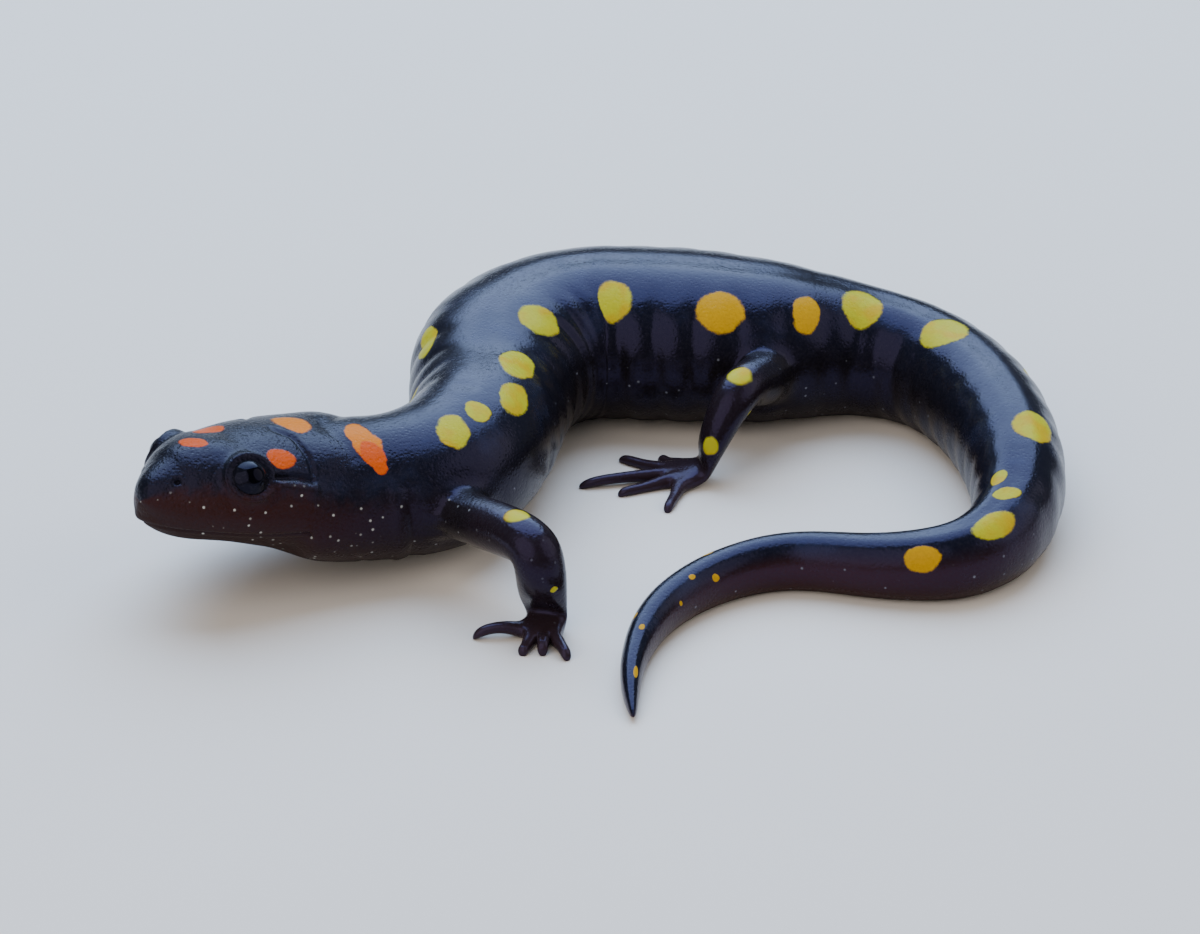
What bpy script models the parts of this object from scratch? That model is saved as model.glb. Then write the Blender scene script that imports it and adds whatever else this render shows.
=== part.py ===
"""A spotted salamander at life size, alert on its forelegs, with its tail curled round to the front.

The body is one smooth form swept along a spine that runs from the snout to the tip of the tail. It is
divided across the spine by thin gaps, and the head is parted along the mouth. Each leg grows from a
soft cage with its toes, and is cut at its elbow or knee and at its wrist or ankle.
Sizes here are millimetres and degrees. The meshes are in metres.
"""

import math
from collections import namedtuple

import bmesh
import bpy
from mathutils import Matrix, Quaternion, Vector

MM = 0.001
GAP = 0.3  # between neighbouring pieces
LENGTH = 201.0  # snout to tail tip, along the back
SNOUT = Vector((-44.4, -20.9))  # plan position of the snout tip
MIDDLE = Vector((1.02, 4.03, 0))  # of the finished box's underside, which becomes the origin
STEP = 0.25  # along the spine, when its turns are added up
UP = Vector((0, 0, 1))

# Distance from the snout, and which way the spine runs there, back toward the tail.
TURNS = (
    (0, 43), (13, 40), (20, 8), (26, 12), (33, 43), (40, 74), (47, 86), (54, 83), (61, 60), (68, 28),
    (75, -3), (84, -6), (95, 4), (103, -20), (112, -57), (122, -76), (132, -88), (140, -105),
    (147, -137), (154, -180), (162, -193), (171, -158), (181, -127), (191, -101), (201, -86),
)
# Distance from the snout, and how far the left side of the head is tipped up.
TIPPED = ((0, 9), (14, 9), (26, 0))

# Distance from the snout, half width at the widest line, height above that line, depth below it,
# and how far the underside clears the floor. Where it rests, it is pressed flat by a share of its depth.
FORM = (
    (0, 3.6, 4.3, 3.7, 9.7),
    (3, 4.8, 5.4, 3.7, 8.7),
    (8, 7.6, 6.7, 3.7, 6.9),
    (13, 8.7, 7.6, 4.5, 4.6),
    (18, 8.9, 7.9, 5.4, 2.6),
    (23, 8.1, 7.6, 6.1, 1.6),
    (27, 7.7, 7.2, 6.6, 1.3),
    (33, 8.0, 7.4, 7.0, 1.0),
    (41, 7.7, 8.0, 7.5, 0.4),
    (50, 8.3, 8.4, 7.9, 0),
    (60, 9.8, 8.9, 8.3, 0),
    (80, 10.7, 9.2, 8.2, 0),
    (90, 9.6, 8.8, 7.8, 0),
    (96, 8.0, 8.0, 7.1, 0),
    (102, 6.8, 7.2, 6.4, 0),
    (110, 6.0, 6.8, 6.0, 0),
    (124, 5.4, 6.5, 5.8, 0),
    (134, 4.9, 6.0, 5.3, 0),
    (141, 4.2, 5.2, 4.6, 0),
    (150, 3.4, 4.2, 3.7, 0),
    (160, 2.8, 3.4, 3.0, 0),
    (172, 2.3, 3.0, 2.6, 0),
    (183, 1.9, 2.5, 2.2, 0),
    (193, 1.2, 1.7, 1.5, 0),
    (201, 0.7, 1.0, 0.8, 0),
)
PRESSED = 0.065
BODY = tuple((*row[:4], row[4] or -PRESSED * row[3]) for row in FORM)
SNOUT_ROUND = 6.0  # lengths over which the snout and the tail tip round off
TAIL_ROUND = 5.0
SQUARENESS = 0.92  # one is an ellipse, and less is fuller at the corners
SIDES = 18  # of every section of the body
HEAD_STEP, NECK_STEP, TAIL_STEP = 1.4, 2.4, 3.8  # between the sections of each
SNOUT_SECTIONS, HEAD_START = [0.12, 0.5, 1.1, 1.9], 2.7  # close together where the snout rounds off
TIP_SECTIONS = (2.0, 0.8, 0.05)  # short of the tail's end
CORE_BEYOND, CORE_STEP = 4.0, 1.4  # the trunk-shaped cutter that ends the legs: past the trunk, and its spacing
GROOVE_CLEAR = 0.6  # from the end of a length to its first section on the grooves' spacing

# Where each length of the body starts.
HEAD_END = 26.0
LENGTHS = (
    ("neck", HEAD_END, 31.5),
    ("trunk_front", 31.5, 52.5),
    ("trunk_middle", 52.5, 73.5),
    ("trunk_rear", 73.5, 97.0),
    ("tail_base", 97.0, 120.0),
    ("tail_middle", 120.0, 146.0),
    ("tail_end", 146.0, 171.0),
    ("tail_tip", 171.0, LENGTH),
)

GROOVES = 12  # along each flank, between the legs
FIRST_GROOVE, LAST_GROOVE = 41.5, 87.7
GROOVE_DEPTH = 0.35

EYE_AT = 7.6  # from the snout
EYE_OUT = 5.85  # from the middle of the head
EYE_ABOVE = 3.15  # the head's widest line
EYE_RADIUS = 2.15
LID_SWELL, LID_SPREAD, LID_OUT = 1.0, 3.1, 1.2  # how high and wide, and how far out from the eye's middle
MOUTH_CORNER = 17.5
# The block that parts the lower jaw from the head.
BLOCK_START, BLOCK_NEXT, BLOCK_STEP = -3.0, 0.5, 1.7
BLOCK_HALF, BLOCK_DEPTH = 10.0, 9.0
# Distance from the snout, and how far the mouth runs below the head's widest line.
MOUTH = ((0, -2.5), (6, -2.3), (12, -1.9), (MOUTH_CORNER, -1.2))
CHEEK_AT, CHEEK_SWELL, CHEEK_SPREAD = 16.5, 0.5, 4.5

# Each leg: where it starts inside the body, its elbow or knee, and its wrist or ankle. Then the middle
# of its palm or sole, which way that points, and each toe's direction, reach from there and arch.
Leg = namedtuple("Leg", "names side start joint end foot heading toes")
FORE, HIND = ("upper_arm", "forearm", "hand"), ("thigh", "shank", "foot")
LEGS = (
    Leg(FORE, "left", (-14.5, -11.5, 7.5), (-5.7, -24.1, 10.4), (-5.6, -22.8, 3.0), (-5.4, -23.4, 1.0),
        255, ((188, 7.1, 0.7), (243, 4.8, 0), (268, 4.3, 0.5), (294, 5.7, 0.3))),
    Leg(FORE, "right", (-17.0, 1.0, 7.5), (-28.5, 5.2, 6.4), (-35.0, 6.4, 2.8), (-37.2, 6.3, 1.0),
        183, ((236, 4.9, 0), (204, 6.2, 0.3), (178, 6.4, 0.3), (144, 5.2, 0))),
    Leg(HIND, "left", (18.9, 21.0, 6.5), (14.3, 9.9, 10.2), (10.8, 7.5, 2.9), (9.2, 8.3, 1.0),
        188, ((124, 5.2, 0), (149, 8.4, 0), (189, 11.6, 0.4), (206, 8.2, 0), (252, 7.6, 0))),
    Leg(HIND, "right", (18.6, 31.0, 6.5), (9.6, 39.6, 7.4), (2.2, 41.6, 2.9), (-0.1, 41.8, 1.0),
        175, ((235, 5.2, 0), (208, 8.2, 0), (184, 10.2, 0.4), (158, 9.6, 0), (118, 7.0, 0))),
)
# Radii down the upper and lower part of a fore and of a hind leg, and at the palm its half width and
# half thickness, then the radius of a toe at its root and at its tip.
THICK = {
    "start": (2.8, 3.1), "upper": (2.55, 2.7), "joint": (2.6, 2.3), "lower": (2.6, 1.95),
    "end": (2.45, 1.7), "palm": (2.3, 2.5), "palm_depth": (0.95, 1.0), "toe": (0.7, 0.7),
    "tip": (0.5, 0.5),
}
BEND = 3.3  # how far from an elbow or knee its rounding starts
SOFTENED = 0.95  # of the cage's size is left in a limb when it is smoothed
TOE_SOFTENED = 0.94  # and in a square toe
TOE_RINGS = (0.38, 0.72, 1.0)
OUTSIDE = 20  # degrees from an outer toe to the palm's side
UPPER_AT = 0.45  # of the way down the upper limb, its middle ring
WRIST_TURN = 0.8  # how much of the palm's direction is in the wrist's
WRIST_DEPTH = 0.9  # of the wrist's half width
HEEL_BACK, HEEL_WIDTH = 0.75, 0.85  # the palm's rear ring: how far back, and how wide, against the palm
PALM_FRONT = 0.6  # height of the palm's front edge, against its half thickness
SUNK = 0.15  # how far below the floor a toe's underside would run: it is pressed flat there

SKIN_BLACK = (0.012, 0.012, 0.016)
SNOUT_BROWN = (0.045, 0.022, 0.020)
EYE_BLACK = (0.004, 0.003, 0.003)
WET = 0.25  # roughness of the skin
GLASSY = 0.05  # and of the eyes


# ---- the body's form ----


def smooth(table, at, column=1):
    """Value at a distance on a smooth curve through the table's rows that never overshoots them."""
    if at <= table[0][0]:
        return table[0][column]
    if at >= table[-1][0]:
        return table[-1][column]
    row = next(n for n in range(len(table) - 1) if at <= table[n + 1][0])

    def rise(n):
        return (table[n + 1][column] - table[n][column]) / (table[n + 1][0] - table[n][0])

    def tangent(n):
        if n in (0, len(table) - 1):
            return 0.0
        before, after = rise(n - 1), rise(n)
        return 2 * before * after / (before + after) if before * after > 0 else 0.0

    span = table[row + 1][0] - table[row][0]
    t = (at - table[row][0]) / span
    low, high = table[row][column], table[row + 1][column]
    level = low * (1 + 2 * t) * (1 - t) ** 2 + high * t * t * (3 - 2 * t)
    return level + span * t * (1 - t) * (tangent(row) * (1 - t) - tangent(row + 1) * t)


def plan_of_spine():
    points = [SNOUT.copy()]
    for i in range(int(LENGTH / STEP) + 4):
        turn = math.radians(smooth(TURNS, (i + 0.5) * STEP))
        points.append(points[-1] + Vector((math.cos(turn), math.sin(turn))) * STEP)
    return points


PLAN = plan_of_spine()


def spine(s):
    """A point of the spine, on the body's widest line."""
    whole = min(int(s / STEP), len(PLAN) - 2)
    flat = PLAN[whole].lerp(PLAN[whole + 1], s / STEP - whole)
    return Vector((flat.x, flat.y, smooth(BODY, s, 3) + smooth(BODY, s, 4)))


def frame(s):
    """The spine's point, its direction toward the tail, the animal's left, and its back's up."""
    along = (spine(min(s + 0.5, LENGTH)) - spine(max(s - 0.5, 0))).normalized()
    level = along.cross(UP).normalized()
    left = Quaternion(along, -math.radians(smooth(TIPPED, s))) @ level
    return spine(s), along, left, left.cross(along)


def rounding(s):
    """One along the body, falling to nothing round the snout and the tail tip."""
    front = max(0.0, 1 - s / SNOUT_ROUND)
    back = max(0.0, 1 - (LENGTH - s) / TAIL_ROUND)
    return math.sqrt(1 - front**2.2) * math.sqrt(1 - back**2)


def power(value, exponent):
    return math.copysign(abs(value) ** exponent, value)


def hill(distance, spread):
    return math.exp(-((distance / spread) ** 2))


def eye_centre(side):
    centre, along, left, up = frame(EYE_AT)
    return centre + left * side * EYE_OUT + up * EYE_ABOVE


def swelling(s, angle, point):
    """How far the skin stands out from the plain form: lids and cheeks, less the grooves."""
    out = 0.0
    if s < HEAD_END:
        for side in (-1, 1):
            lid = eye_centre(side) + (point - spine(EYE_AT)).normalized() * LID_OUT
            out += LID_SWELL * hill((point - lid).length, LID_SPREAD)
        flank = abs(math.sin(angle)) ** 3
        out += CHEEK_SWELL * flank * hill(s - CHEEK_AT, CHEEK_SPREAD)
    if FIRST_GROOVE - 1 < s < LAST_GROOVE + 1:
        phase = (s - FIRST_GROOVE) / (LAST_GROOVE - FIRST_GROOVE) * (GROOVES - 1)
        sharp = max(0.0, 1 - 4 * abs(phase - round(phase)))
        out -= GROOVE_DEPTH * sharp * abs(math.sin(angle)) ** 1.5
    return out


def skin(s, angle, grow=0.0):
    """A point of the skin; the angle runs from the middle of the back round by the left side."""
    centre, along, left, up = frame(s)
    size = rounding(s)
    across = smooth(BODY, s, 1) * size * power(math.sin(angle), SQUARENESS)
    tall = smooth(BODY, s, 2 if math.cos(angle) > 0 else 3) * size * power(math.cos(angle), SQUARENESS)
    point = centre + left * across + up * tall
    away = left * across + up * tall
    if away.length > 0:
        point += away.normalized() * (swelling(s, angle, point) * size + grow)
    point.z = max(point.z, 0.0)
    return point


# ---- building pieces ----


def new_object(name, bm, collection):
    mesh = bpy.data.meshes.new(name)
    bm.to_mesh(mesh)
    bm.free()
    obj = bpy.data.objects.new(name, mesh)
    collection.objects.link(obj)
    return obj


def material_of(name):
    """One plain material for each object."""
    material = bpy.data.materials.new(name)
    material.use_nodes = True
    shader = material.node_tree.nodes["Principled BSDF"]
    colour = EYE_BLACK if name.startswith("eye") else SNOUT_BROWN if name == "lower_jaw" else SKIN_BLACK
    shader.inputs["Base Color"].default_value = (*colour, 1)
    shader.inputs["Roughness"].default_value = GLASSY if name.startswith("eye") else WET
    shader.inputs["Metallic"].default_value = 0
    return material


def mesh_copy(obj):
    bm = bmesh.new()
    bm.from_mesh(obj.data)
    return bm


def walls(bm, rows):
    """Faces between neighbouring closed rows of points."""
    for one, two in zip(rows, rows[1:]):
        for i in range(len(one)):
            j = (i + 1) % len(one)
            bm.faces.new((one[i], one[j], two[j], two[i]))


def closed_rows(bm, rows):
    """Walls along the rows, and a flat end on the first and the last."""
    walls(bm, rows)
    for end in (rows[0], rows[-1]):
        bm.faces.new(end)
    bmesh.ops.recalc_face_normals(bm, faces=bm.faces)
    bmesh.ops.triangulate(bm, faces=bm.faces)


def loft(name, stations, collection, grow=0.0):
    """A closed length of the body with a flat section at each end."""
    bm = bmesh.new()
    sections = [
        [bm.verts.new(skin(s, math.tau * i / SIDES, grow) * MM) for i in range(SIDES)] for s in stations
    ]
    closed_rows(bm, sections)
    return new_object(name, bm, collection)


def evenly(start, end, spacing):
    count = max(1, round((end - start) / spacing))
    return [start + (end - start) * i / count for i in range(count + 1)]


def apply_modifiers(obj):
    graph = bpy.context.evaluated_depsgraph_get()
    mesh = bpy.data.meshes.new_from_object(obj.evaluated_get(graph))
    obj.modifiers.clear()
    obj.data = mesh


def cut(obj, cutter, operation="DIFFERENCE", solver="EXACT"):
    modifier = obj.modifiers.new("cut", "BOOLEAN")
    modifier.operation = operation
    modifier.solver = solver
    modifier.object = cutter
    apply_modifiers(obj)


# ---- the body's lengths ----


def trunk_stations(start, end):
    """Sections that fall on each groove and at two places between it and the next."""
    groove = (LAST_GROOVE - FIRST_GROOVE) / (GROOVES - 1)
    first = math.ceil((start + GROOVE_CLEAR - FIRST_GROOVE) / groove * 3)
    last = math.floor((end - GROOVE_CLEAR - FIRST_GROOVE) / groove * 3)
    return [start] + [FIRST_GROOVE + groove * i / 3 for i in range(first, last + 1)] + [end]


def make_lengths(parts):
    for name, start, end in LENGTHS:
        low, high = start + GAP / 2, end - (TIP_SECTIONS[-1] if end == LENGTH else GAP / 2)
        if name.startswith("trunk"):
            stations = trunk_stations(low, high)
        else:
            stations = evenly(low, high, NECK_STEP if name == "neck" else TAIL_STEP)
        if end == LENGTH:
            stations[-1:] = [end - short for short in TIP_SECTIONS]
        loft(name, stations, parts)


def under_mouth(name, inset, cutters):
    """A block that holds all of the head below the mouth and in front of its corners."""
    bm = bmesh.new()
    rows = []
    for s in [BLOCK_START] + evenly(BLOCK_NEXT, MOUTH_CORNER, BLOCK_STEP):
        centre, along, left, up = frame(max(s, BLOCK_NEXT))
        if s in (BLOCK_START, MOUTH_CORNER):
            centre += along * (min(s, 0) - inset)
        half, top, bottom = BLOCK_HALF - inset, smooth(MOUTH, s) - inset, inset - BLOCK_DEPTH
        rows.append([
            bm.verts.new((centre + left * x + up * z) * MM)
            for x, z in ((half, top), (-half, top), (-half, bottom), (half, bottom))
        ])
    closed_rows(bm, rows)
    return new_object(name, bm, cutters)


def ball(name, centre, radius, collection, segments=12):
    bm = bmesh.new()
    bmesh.ops.create_uvsphere(bm, u_segments=segments, v_segments=segments - 4, radius=radius * MM)
    bmesh.ops.translate(bm, vec=centre * MM, verts=bm.verts)
    return new_object(name, bm, collection)


def make_head(parts, cutters):
    stations = SNOUT_SECTIONS + evenly(HEAD_START, HEAD_END - GAP / 2, HEAD_STEP)
    whole = loft("head_whole", stations, cutters)
    for side, word in ((1, "left"), (-1, "right")):
        socket = ball("socket_" + word, eye_centre(side), EYE_RADIUS + GAP, cutters)
        cut(whole, socket)
        ball("eye_" + word, eye_centre(side), EYE_RADIUS, parts)
    jaw = new_object("lower_jaw", mesh_copy(whole), parts)
    head = new_object("head", mesh_copy(whole), parts)
    # The exact solver loses the head here, because the blocks' walls run so near its own.
    cut(jaw, under_mouth("jaw_block", GAP / 2, cutters), "INTERSECT", "MANIFOLD")
    cut(head, under_mouth("head_block", -GAP / 2, cutters), "DIFFERENCE", "MANIFOLD")


# ---- the legs ----


def turned(degrees):
    angle = math.radians(degrees)
    return Vector((math.cos(angle), math.sin(angle), 0))


def rounded_corner(before, corner, after, reach):
    """Three points of a soft bend, and the direction at each."""
    into, out = (corner - before).normalized(), (after - corner).normalized()
    first, last = corner - into * reach, corner + out * reach
    middle = (first + last) / 4 + corner / 2
    return (first, into), (middle, (into + out).normalized()), (last, out)


def limb_stations(leg):
    """Down the limb: the middle of each ring, its direction, and its half width and half depth."""
    kind = HIND == leg.names
    start, joint, end, foot = (Vector(p) for p in (leg.start, leg.joint, leg.end, leg.foot))
    ahead = turned(leg.heading)
    heel = foot - ahead * THICK["palm"][kind] * HEEL_BACK
    thick = {word: sizes[kind] / SOFTENED for word, sizes in THICK.items()}
    first, middle, last = rounded_corner(start, joint, end, BEND)
    down = (joint - start).normalized()
    wrist = ((end - joint).normalized() + ahead * WRIST_TURN).normalized()
    return [
        (start, down, thick["start"], thick["start"]),
        (start.lerp(joint, UPPER_AT), down, thick["upper"], thick["upper"]),
        (*first, thick["joint"], thick["joint"]),
        (*middle, thick["joint"], thick["joint"]),
        (*last, thick["lower"], thick["lower"]),
        (end, wrist, thick["end"], thick["end"] * WRIST_DEPTH),
        (heel, ahead, thick["palm"] * HEEL_WIDTH, thick["palm_depth"]),
    ]


def ring_frames(stations, across):
    """The sideways and upward direction of each ring, carried back from the foot without twist."""
    frames = []
    direction = stations[-1][1]
    for _, heading, _, _ in reversed(stations):
        across = direction.rotation_difference(heading) @ across
        direction = heading
        frames.append(across.copy())
    return frames[::-1]


def toe_edges(toes):
    """Directions of the lines that part the toes, from the first toe's outside to the last one's."""
    angles = [angle for angle, _, _ in toes]
    between = [(a + b) / 2 for a, b in zip(angles, angles[1:])]
    outside = math.copysign(OUTSIDE, angles[1] - angles[0])
    return [angles[0] - outside, *between, angles[-1] + outside]


def leg_cage(leg):
    """The limb's rings, then the palm's front edge, then a short square tube for each toe."""
    bm = bmesh.new()
    count = len(leg.toes)
    kind = HIND == leg.names
    hand = 1 if leg.side == "left" else -1
    ahead = turned(leg.heading)
    stations = limb_stations(leg)
    rows = []
    for (middle, _, wide, deep), across in zip(stations, ring_frames(stations, UP.cross(ahead) * hand)):
        heading = stations[len(rows)][1]
        top = heading.cross(across) * hand
        angles = [math.pi * (k + 0.5) / (count + 1) for k in range(count + 1)]
        offsets = [(-math.cos(a), math.sin(a)) for a in angles]
        offsets += [(x, -z) for x, z in reversed(offsets)]
        rows.append([bm.verts.new((middle + across * x * wide + top * z * deep) * MM) for x, z in offsets])
    foot = Vector(leg.foot)
    front = [turned(a) * THICK["palm"][kind] / SOFTENED for a in toe_edges(leg.toes)]
    depth = THICK["palm_depth"][kind] * PALM_FRONT
    upper = [bm.verts.new((foot + out + UP * depth) * MM) for out in front]
    lower = [bm.verts.new((foot + out - UP * (foot.z + SUNK)) * MM) for out in front]
    rows.append(upper + lower[::-1])
    walls(bm, rows)
    bm.faces.new(rows[0])
    for k, (angle, reach, arch) in enumerate(leg.toes):
        root = [upper[k], upper[k + 1], lower[k + 1], lower[k]]
        begin = foot + (front[k] + front[k + 1]) / 2
        add_toe(bm, root, begin, foot + turned(angle) * reach, arch, hand, kind)
    bmesh.ops.recalc_face_normals(bm, faces=bm.faces)
    return bm


def add_toe(bm, root, begin, tip, arch, hand, kind):
    ahead = Vector((tip.x - begin.x, tip.y - begin.y, 0)).normalized()
    across = UP.cross(ahead) * hand
    rows = [root]
    for t in TOE_RINGS:
        half = (THICK["toe"][kind] * (1 - t) + THICK["tip"][kind] * t) / TOE_SOFTENED
        middle = begin.lerp(tip, t)
        middle.z = half - SUNK + arch * math.sin(math.pi * t)
        rows.append([
            bm.verts.new((middle + across * x * half + UP * z * half) * MM)
            for x, z in ((-1, 1), (1, 1), (1, -1), (-1, -1))
        ])
    walls(bm, rows)
    bm.faces.new(rows[-1])


def softened(obj):
    """Rounded by one level of smoothing, then pressed flat on the floor."""
    smoothing = obj.modifiers.new("rounded", "SUBSURF")
    smoothing.levels = smoothing.render_levels = 1
    apply_modifiers(obj)
    for vert in obj.data.vertices:
        vert.co.z = max(vert.co.z, 0.0)


def sliced(obj, name, planes, parts):
    """A copy of the limb that keeps only what lies behind each plane, closed where it is cut."""
    bm = mesh_copy(obj)
    for point, facing in planes:
        everything = bm.verts[:] + bm.edges[:] + bm.faces[:]
        bmesh.ops.bisect_plane(
            bm, geom=everything, dist=1e-7, plane_co=point * MM, plane_no=facing, clear_outer=True
        )
        bmesh.ops.holes_fill(bm, edges=[e for e in bm.edges if e.is_boundary])
    bmesh.ops.triangulate(bm, faces=bm.faces)
    bmesh.ops.recalc_face_normals(bm, faces=bm.faces)
    return new_object(name, bm, parts)


def make_leg(leg, core, parts, cutters):
    whole = new_object("leg", leg_cage(leg), cutters)
    softened(whole)
    cut(whole, core)
    stations = limb_stations(leg)
    (joint, bend, _, _), (end, ankle, _, _) = stations[3], stations[5]
    half = GAP / 2
    planes = (
        ((joint - bend * half, bend),),
        ((joint + bend * half, -bend), (end - ankle * half, ankle)),
        ((end + ankle * half, -ankle),),
    )
    for part, cuts in zip(leg.names, planes):
        sliced(whole, part + "_" + leg.side, cuts, parts)


def main():
    for obj in list(bpy.data.objects):
        bpy.data.objects.remove(obj)
    parts = bpy.data.collections.new("spotted_salamander")
    cutters = bpy.data.collections.new("cutters")
    bpy.context.scene.collection.children.link(parts)
    bpy.context.scene.collection.children.link(cutters)
    make_head(parts, cutters)
    make_lengths(parts)
    trunk_start, trunk_end = LENGTHS[1][1], LENGTHS[3][2]
    along_core = evenly(trunk_start - CORE_BEYOND, trunk_end + CORE_BEYOND, CORE_STEP)
    core = loft("body_core", along_core, cutters, GAP)
    for leg in LEGS:
        make_leg(leg, core, parts, cutters)
    for cutter in cutters.objects:
        cutter.hide_render = True
        cutter.display_type = "WIRE"
    for obj in parts.objects:
        obj.data.transform(Matrix.Translation(-MIDDLE * MM))
        obj.data.materials.clear()
        obj.data.materials.append(material_of(obj.name))


main()
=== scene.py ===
"""The look of the spotted salamander: one wet, spotted skin over the whole animal, and its two eyes.

Sizes here are millimetres and degrees until a piece is finished, and then it is scaled to metres.
The form of the body follows the same tables as the solids.
"""

import math
from collections import namedtuple
from functools import reduce

import bmesh
import bpy
import numpy as np
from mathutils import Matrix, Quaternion, Vector, kdtree


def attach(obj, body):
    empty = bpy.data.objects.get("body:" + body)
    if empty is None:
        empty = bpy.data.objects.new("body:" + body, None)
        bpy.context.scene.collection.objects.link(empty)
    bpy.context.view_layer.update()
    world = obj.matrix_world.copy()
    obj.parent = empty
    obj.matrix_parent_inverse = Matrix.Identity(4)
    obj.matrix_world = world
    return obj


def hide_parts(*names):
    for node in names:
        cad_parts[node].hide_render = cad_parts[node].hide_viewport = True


MM = 0.001
UP = Vector((0, 0, 1))
MIDDLE = Vector((1.02, 4.03, 0))  # of the solids' underside, which is the origin

# ---- the form of the body ----

LENGTH = 201.0  # snout to tail tip, along the back
SNOUT = Vector((-44.4, -20.9))  # plan position of the snout tip
STEP = 0.25  # along the spine, when its turns are added up
ALONG_REACH = 0.5  # ahead and behind, when the spine's direction is taken
# Distance from the snout, and which way the spine runs there, back toward the tail.
TURNS = (
    (0, 43), (13, 40), (20, 8), (26, 12), (33, 43), (40, 74), (47, 86), (54, 83), (61, 60), (68, 28),
    (75, -3), (84, -6), (95, 4), (103, -20), (112, -57), (122, -76), (132, -88), (140, -105), (147, -137),
    (154, -180), (162, -193), (171, -158), (181, -127), (191, -101), (201, -86),
)
# Distance from the snout, and how far the left side of the head is tipped up.
TIPPED = ((0, 9), (14, 9), (26, 0))
# Distance from the snout, half width at the widest line, height above that line, depth below it,
# and how far the underside clears the floor. Where it rests, it is pressed flat by a share of its depth.
FORM = (
    (0, 3.6, 4.3, 3.7, 9.7),
    (3, 4.8, 5.4, 3.7, 8.7),
    (8, 7.6, 6.7, 3.7, 6.9),
    (13, 8.7, 7.6, 4.5, 4.6),
    (18, 8.9, 7.9, 5.4, 2.6),
    (23, 8.1, 7.6, 6.1, 1.6),
    (27, 7.7, 7.2, 6.6, 1.3),
    (33, 8.0, 7.4, 7.0, 1.0),
    (41, 7.7, 8.0, 7.5, 0.4),
    (50, 8.3, 8.4, 7.9, 0),
    (60, 9.8, 8.9, 8.3, 0),
    (80, 10.7, 9.2, 8.2, 0),
    (90, 9.6, 8.8, 7.8, 0),
    (96, 8.0, 8.0, 7.1, 0),
    (102, 6.8, 7.2, 6.4, 0),
    (110, 6.0, 6.8, 6.0, 0),
    (124, 5.4, 6.5, 5.8, 0),
    (134, 4.9, 6.0, 5.3, 0),
    (141, 4.2, 5.2, 4.6, 0),
    (150, 3.4, 4.2, 3.7, 0),
    (160, 2.8, 3.4, 3.0, 0),
    (172, 2.3, 3.0, 2.6, 0),
    (183, 1.9, 2.5, 2.2, 0),
    (193, 1.2, 1.7, 1.5, 0),
    (201, 0.7, 1.0, 0.8, 0),
)
PRESSED = 0.065
BODY = tuple((*row[:4], row[4] or -PRESSED * row[3]) for row in FORM)
SNOUT_ROUND, TAIL_ROUND = 6.0, 5.0  # lengths over which the snout and the tail tip round off
SNOUT_BLUNT = 2.2  # two is an ellipse, and more is blunter
SQUARENESS = 0.92  # one is an ellipse, and less is fuller at the corners
HEAD_END = 26.0
GROOVES, FIRST_GROOVE, LAST_GROOVE = 12, 41.5, 87.7  # along each flank, between the legs
# The eye: from the snout, from the middle of the head, above the widest line, and its radius.
EYE_AT, EYE_OUT, EYE_ABOVE, EYE_RADIUS = 7.6, 5.85, 3.15, 2.15
BROW_SWELL, BROW_SPREAD = 0.25, 3.2
CHEEK_AT, CHEEK_SWELL, CHEEK_SPREAD = 16.5, 0.5, 4.5
MOUTH_CORNER = 17.5
# Distance from the snout, and how far the mouth runs below the head's widest line.
MOUTH = ((0, -2.5), (6, -2.3), (12, -1.9), (MOUTH_CORNER, -1.2))

AROUND = 160  # points round each section of the skin
HEAD_STEP, TRUNK_STEP, TAIL_STEP = 0.17, 0.6, 0.85  # between the skin's rings
HEAD_RINGS_END, TRUNK_RINGS_END = HEAD_END + 2, 95.0  # where the rings' spacing changes
SNOUT_RINGS, SNOUT_KEPT = 26, 21  # rings of a full rounding, and those kept
TIP_RINGS, TIP_KEPT = 14, 12
TIP_CLEAR = 0.4  # between the tail's rings and those of its tip
FINE_ANGLES = 2000  # steps in adding up the crowding
# The skin's columns crowd at the eyes and the mouth: the angle, how much, and how widely.
CROWDS = ((55, 1.3, 25), (108, 1.5, 18))
CROWDED_TO, EVEN_FROM = 22, 30  # distances from the snout
EASED_LENGTHS = ((11.0, 33.0), (42.0, 72.0))  # where bends pinch the skin
EASED_OVER = 1.1  # the length over which it gives there
EASED_FADE, EASED_MARGIN = 3, 5  # inside the ends of such a length, and past them


def smooth(table, at, column=1):
    """Value at a distance on a smooth curve through the table's rows that never overshoots them."""
    if at <= table[0][0]:
        return table[0][column]
    if at >= table[-1][0]:
        return table[-1][column]
    row = next(n for n in range(len(table) - 1) if at <= table[n + 1][0])

    def rise(n):
        return (table[n + 1][column] - table[n][column]) / (table[n + 1][0] - table[n][0])

    def tangent(n):
        if n in (0, len(table) - 1):
            return 0.0
        before, after = rise(n - 1), rise(n)
        return 2 * before * after / (before + after) if before * after > 0 else 0.0

    span = table[row + 1][0] - table[row][0]
    t = (at - table[row][0]) / span
    low, high = table[row][column], table[row + 1][column]
    level = low * (1 + 2 * t) * (1 - t) ** 2 + high * t * t * (3 - 2 * t)
    return level + span * t * (1 - t) * (tangent(row) * (1 - t) - tangent(row + 1) * t)


def plan_of_spine():
    points = [SNOUT.copy()]
    for i in range(int(LENGTH / STEP) + 4):
        turn = math.radians(smooth(TURNS, (i + 0.5) * STEP))
        points.append(points[-1] + Vector((math.cos(turn), math.sin(turn))) * STEP)
    return points


PLAN = plan_of_spine()


def spine(s):
    whole = min(int(s / STEP), len(PLAN) - 2)
    flat = PLAN[whole].lerp(PLAN[whole + 1], s / STEP - whole)
    return Vector((flat.x, flat.y, smooth(BODY, s, 3) + smooth(BODY, s, 4)))


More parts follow.
